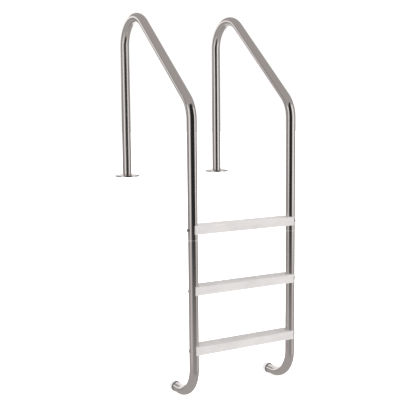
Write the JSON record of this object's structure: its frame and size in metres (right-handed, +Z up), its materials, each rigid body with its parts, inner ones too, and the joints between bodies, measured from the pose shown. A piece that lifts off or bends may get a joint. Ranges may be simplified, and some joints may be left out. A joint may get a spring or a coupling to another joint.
{
  "type": "pool ladder",
  "caption": "In-ground pool ladder with bent steel tube rails, white moulded treads, deck flanges under domed covers, and wall bumpers.",
  "frame": {"origin": "on the deck's surface, midway between the axes of the two deck legs", "axes": "+X along the treads from left rail to right rail, -Y out over the pool, +Z up"},
  "size_m": [0.616, 0.734, 1.6892],
  "materials": {
    "rail_steel": "polished stainless tube",
    "cover_steel": "polished pressed sheet",
    "plain_steel": "mill finish",
    "fastener_steel": "stainless fasteners",
    "tread_plastic": "moulded, fine grain",
    "ring_rubber": "matt",
    "bumper_rubber": "smooth, slightly soft"
  },
  "bodies": {
    "ladder": {"upper_rail_left": "rail_steel", "upper_rail_right": "rail_steel", "lower_rail_left": "rail_steel", "lower_rail_right": "rail_steel", "joint_sleeve_left": "plain_steel", "joint_sleeve_right": "plain_steel", "deck_flange_left": "plain_steel", "deck_flange_right": "plain_steel", "tread_upper": "tread_plastic", "tread_middle": "tread_plastic", "tread_lower": "tread_plastic", "joint_bolts": "fastener_steel", "tread_bolts": "fastener_steel", "saddle_washers": "fastener_steel", "inner_washers": "fastener_steel", "tread_nuts": "fastener_steel", "end_ring_left": "ring_rubber", "end_ring_right": "ring_rubber", "bumper_left": "bumper_rubber", "bumper_right": "bumper_rubber"},
    "cover_left": {"deck_cover_left": "cover_steel"},
    "cover_right": {"deck_cover_right": "cover_steel"}
  },
  "joints": [
    {"name": "cover_left_lift", "type": "slide", "parent": "ladder", "child": "cover_left", "axis": [0, 0, 1], "range_m": [0, 0.55]},
    {"name": "cover_right_lift", "type": "slide", "parent": "ladder", "child": "cover_right", "axis": [0, 0, 1], "range_m": [0, 0.55]}
  ]
}
